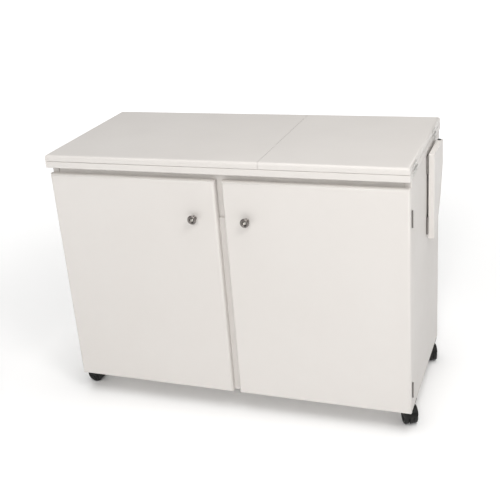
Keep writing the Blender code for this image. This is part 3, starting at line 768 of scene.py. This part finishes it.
wheels_mesh = mesh_of("twin_wheels", joined([
    (wheel_half(0.0058, 0.0190), None),
    (wheel_half(0.0058, 0.0190), Matrix.Rotation(math.pi, 4, "Z")),
    (lathe([(0, -0.0064), (0.0028, -0.0064), (0.0028, 0.0064), (0, 0.0064)], 24, "y"), None)]), 50.0)


def hood_parts():
    """Curved mudguard over the pair and the web between the wheels, about the axle."""
    # mudguard: a curved shell with rolled-in side lips
    section = [(-0.0186, 0.0258), (-0.0190, 0.0252), (-0.0195, 0.0255), (-0.0195, 0.0262), (-0.0188, 0.0268),
               (-0.0176, 0.0271), (0.0, 0.0272), (0.0176, 0.0271), (0.0188, 0.0268), (0.0195, 0.0262),
               (0.0195, 0.0255), (0.0190, 0.0252), (0.0186, 0.0258), (0.0, 0.0260)]
    guard = bmesh.new()
    steps, rings = 30, []
    for i in range(steps + 1):
        a = math.radians(10 + 160 * i / steps)
        pinch = 1.0 - 0.18 * abs(2 * i / steps - 1) ** 6
        rings.append([guard.verts.new((r * math.cos(a), y * pinch, r * math.sin(a))) for y, r in section])
    n = len(section)
    for a, b in zip(rings, rings[1:]):
        for k in range(n):
            guard.faces.new((a[k], a[(k + 1) % n], b[(k + 1) % n], b[k]))
    guard.faces.new(rings[0])
    guard.faces.new(rings[-1][::-1])
    bmesh.ops.recalc_face_normals(guard, faces=guard.faces)
    # web between the wheels
    outline = []
    for i in range(25):
        a = math.radians(-40 + 220 * i / 24)
        outline.append((0.0266 * math.cos(a), 0.0266 * math.sin(a)))
    outline += [(-0.0240, -0.0050), (-0.0170, -0.0095), (-0.0100, -0.0120), (-0.0020, -0.0138), (0.0060, -0.0140)]
    web = prism(outline, -0.0046, 0.0046, "y")
    soften(web, rim(web, 1, -0.0046) + rim(web, 1, 0.0046), 0.0008, 3)
    return guard, web


def housing():
    """Swivel cup above the mudguard, about the stem."""
    top = 0.0555
    profile = [(0, 0.0480), (0.0060, 0.0480), (0.0092, 0.0500), (0.0098, 0.0520), (0.0098, 0.0538), (0.0094, 0.0550),
               (0.0085, top), (0.0040, top), (0.0036, top - 0.0010), (0, top - 0.0010)]
    return lathe(profile, 48)


STEM = [(0, 0.0480), (0.0030, 0.0480), (0.0030, 0.0558), (0.0042, 0.0560), (0.0082, 0.0562), (0.0088, 0.0568),
        (0.0088, 0.0580), (0.0080, 0.0588), (0, 0.0588)]
plate_screw = screw_head("plate_screw_head", 0.0034, 0.0015, 0.0009, 0.00050)
for row in ("front", "rear"):
    for side in ("left", "right"):
        corner = row + "_" + side
        stem = Vector(JOINTS[corner + "_caster_swivel"]["pos_m"])
        axle = Vector(JOINTS[corner + "_wheel_roll"]["pos_m"])
        trail = math.atan2(axle.y - stem.y, axle.x - stem.x)
        spin = Matrix.Rotation(trail, 4, "Z")
        at_axle = Matrix.Translation(axle) @ spin
        show(corner + "_twin_wheels", wheels_mesh, WHEEL, corner + "_wheel_body", at_axle,
             [corner + "_caster_wheels"])
        guard, web = hood_parts()
        offset = Matrix.Translation((-(Vector((axle.x, axle.y)) - Vector((stem.x, stem.y))).length, 0, -axle.z))
        cup = housing()
        hood = mesh_of(corner + "_hood_moulding", joined([(guard, None), (web, None), (cup, offset)]), 40.0)
        show(corner + "_hood_moulding", hood, NYLON, corner + "_swivel_body", at_axle,
             [corner + "_caster_hood"])
        # plate with four screws, and the stem with its bearing cup
        lo, hi = box_of(corner + "_caster_plate")
        plate = prism(rounded_outline(lo.x, lo.y, hi.x, hi.y, 0.004, ("sw", "se", "ne", "nw"), 6), hi.z - 0.0022, hi.z)
        soften(plate, rim(plate, 2, hi.z - 0.0022), 0.0004, 2)
        pin = lathe(STEM, 40)
        bmesh.ops.transform(pin, matrix=Matrix.Translation((stem.x, stem.y, 0)), verts=pin.verts)
        show(corner + "_plate_and_stem", mesh_of(corner + "_plate_and_stem", joined([(plate, None), (pin, None)]), 40.0),
             PLATE, "cabinet", replaces=[corner + "_caster_plate"])
        d = (hi.x - lo.x) / 2 - 0.0062
        spots = [((sx * d, sy * d, 0), (0, 0, -1), 0.4 + sx + 0.6 * sy) for sx in (-1, 1) for sy in (-1, 1)]
        screws(corner + "_plate_screws", plate_screw, spots, "cabinet",
               Matrix.Translation((stem.x, stem.y, hi.z - 0.0022)))


# ================================================================== gas spring
lo, hi = box_of("gas_cylinder")
cx, cy, h = (lo.x + hi.x) / 2, (lo.y + hi.y) / 2, hi.z - lo.z
profile = [(0, 0), (0.0192, 0), (0.0200, 0.0006), (0.0200, 0.0032), (0.0192, 0.0040), (0.0125, 0.0044),
           (0.0113, 0.0052), (0.0110, 0.0064), (0.0110, h - 0.016), (0.0106, h - 0.0152), (0.0106, h - 0.0138),
           (0.0110, h - 0.0130), (0.0110, h - 0.0022), (0.0106, h - 0.0008), (0.0098, h), (0.0056, h),
           (0.0052, h - 0.0006), (0.0052, 0.0060), (0, 0.0060)]
show("gas_spring_body", mesh_of("gas_spring_body", lathe(profile, 56), 35.0), ENAMEL, "cabinet",
     Matrix.Translation((cx, cy, lo.z)), ["gas_cylinder"])
lo, hi = box_of("gas_rod")
cx, cy, h = (lo.x + hi.x) / 2, (lo.y + hi.y) / 2, hi.z - lo.z
profile = [(0, 0), (0.0034, 0), (0.0040, 0.0006), (0.0040, h - 0.0085), (0.0060, h - 0.0078), (0.0105, h - 0.0060),
           (0.0126, h - 0.0050), (0.0130, h - 0.0044), (0.0130, h - 0.0004), (0.0126, h), (0, h)]
show("gas_spring_rod", mesh_of("gas_spring_rod", lathe(profile, 48), 30.0), CHROME, "lift_body",
     Matrix.Translation((cx, cy, lo.z)), ["gas_rod"])


# ================================================================== floor, light and camera
# strength of the floor's painted glow near the cabinet and far from it
FLOOR_NEAR, FLOOR_FAR = 0.05, 0.60


def floor_material():
    n = Nodes("studio_floor")
    tone = n.ramp(n.noise(1.2, 3.0), [(0.3, (0.945, 0.945, 0.945)), (0.7, (0.955, 0.955, 0.955))])
    n.bsdf.inputs["Emission Color"].default_value = (1.0, 1.0, 1.0, 1.0)
    # painted light: the floor glows though it is no lamp, weakly near the cabinet so its shadow stays dark and strongly
    # far off so the ground reads white
    far = n.tree.nodes.new("ShaderNodeVectorMath")
    far.operation = "LENGTH"
    n.link(n.coord, far.inputs[0])
    n.link(n.spread(far.outputs["Value"], FLOOR_NEAR, FLOOR_FAR, 0.9, 5.0), n.bsdf.inputs["Emission Strength"])
    return n.finish(tone, 0.75, n.bump(n.noise(300.0, 2.0), 0.0002, 0.1))


floor_z = CAD_BOX[0].z
bm = bmesh.new()
bmesh.ops.create_circle(bm, cap_ends=True, cap_tris=False, segments=96, radius=24.0)
bmesh.ops.transform(bm, matrix=Matrix.Translation((0, 0, floor_z)), verts=bm.verts)
bmesh.ops.recalc_face_normals(bm, faces=bm.faces)
for f in bm.faces:
    if f.normal.z < 0:
        f.normal_flip()
mesh = bpy.data.meshes.new("studio_floor")
bm.to_mesh(mesh)
bm.free()
floor = bpy.data.objects.new("studio_floor", mesh)
SCENE.collection.objects.link(floor)
mesh.materials.append(floor_material())

WORLD_LIGHT = 0.24
world = bpy.data.worlds.new("studio")
world.use_nodes = True
SCENE.world = world
wt = world.node_tree
wt.nodes.clear()
w_out = wt.nodes.new("ShaderNodeOutputWorld")
w_bg = wt.nodes.new("ShaderNodeBackground")
w_bg.inputs["Color"].default_value = (1.0, 0.995, 0.985, 1.0)
w_bg.inputs["Strength"].default_value = WORLD_LIGHT
wt.links.new(w_bg.outputs[0], w_out.inputs["Surface"])


def area(name, point, target, size, power, colour=(1.0, 1.0, 1.0)):
    data = bpy.data.lights.new(name, "AREA")
    data.shape = "RECTANGLE"
    data.size, data.size_y = size
    data.energy = power
    data.color = colour
    obj = bpy.data.objects.new(name, data)
    SCENE.collection.objects.link(obj)
    obj.location = point
    obj.rotation_mode = "QUATERNION"
    obj.rotation_quaternion = (Vector(target) - Vector(point)).to_track_quat("-Z", "Y")
    return obj


def sun(name, direction, strength, angle, colour=(1.0, 1.0, 1.0)):
    data = bpy.data.lights.new(name, "SUN")
    data.energy = strength
    data.angle = math.radians(angle)
    data.color = colour
    obj = bpy.data.objects.new(name, data)
    SCENE.collection.objects.link(obj)
    obj.rotation_mode = "QUATERNION"
    obj.rotation_quaternion = Vector(direction).to_track_quat("-Z", "Y")
    return obj


def shining(azimuth, elevation):
    """Direction of light that comes from right of the front by azimuth and from above by elevation, in degrees."""
    a, e = math.radians(azimuth), math.radians(elevation)
    return (-math.sin(a) * math.cos(e), math.cos(a) * math.cos(e), -math.sin(e))


WARM = (1.0, 0.990, 0.975)
sun("key", shining(7.0, 29.0), 0.84, 14.0, WARM)
sun("overhead", (0.0, 0.0, -1.0), 1.44, 40.0)
area("front_high", (0.8, -2.4, 3.0), (0.2, 0.0, 0.5), (2.0, 1.4), 14.0, WARM)
area("near_right", (1.35, -1.25, 2.35), (0.47, 0.0, 0.72), (0.7, 0.6), 18.0, WARM)

camera = bpy.data.objects.new("camera", bpy.data.cameras.new("camera"))
SCENE.collection.objects.link(camera)
AZ, EL, ROLL = math.radians(21.402), math.radians(23.022), math.radians(-4.603)
forward = Vector((-math.sin(AZ) * math.cos(EL), math.cos(AZ) * math.cos(EL), -math.sin(EL)))
level = forward.cross(Vector((0, 0, 1))).normalized()
upright = level.cross(forward)
right = math.cos(ROLL) * level + math.sin(ROLL) * upright
up = -math.sin(ROLL) * level + math.cos(ROLL) * upright
place = Matrix((right, up, -forward)).transposed().to_4x4()
place.translation = Vector((0.8746, -2.2563, 1.4448))
camera.matrix_world = place
camera.data.sensor_width = 36.0
camera.data.lens = 891.26 / 500.0 * 36.0
camera.data.clip_start, camera.data.clip_end = 0.05, 100.0
SCENE.camera = camera

SCENE.view_settings.view_transform = "Standard"
SCENE.view_settings.look = "None"
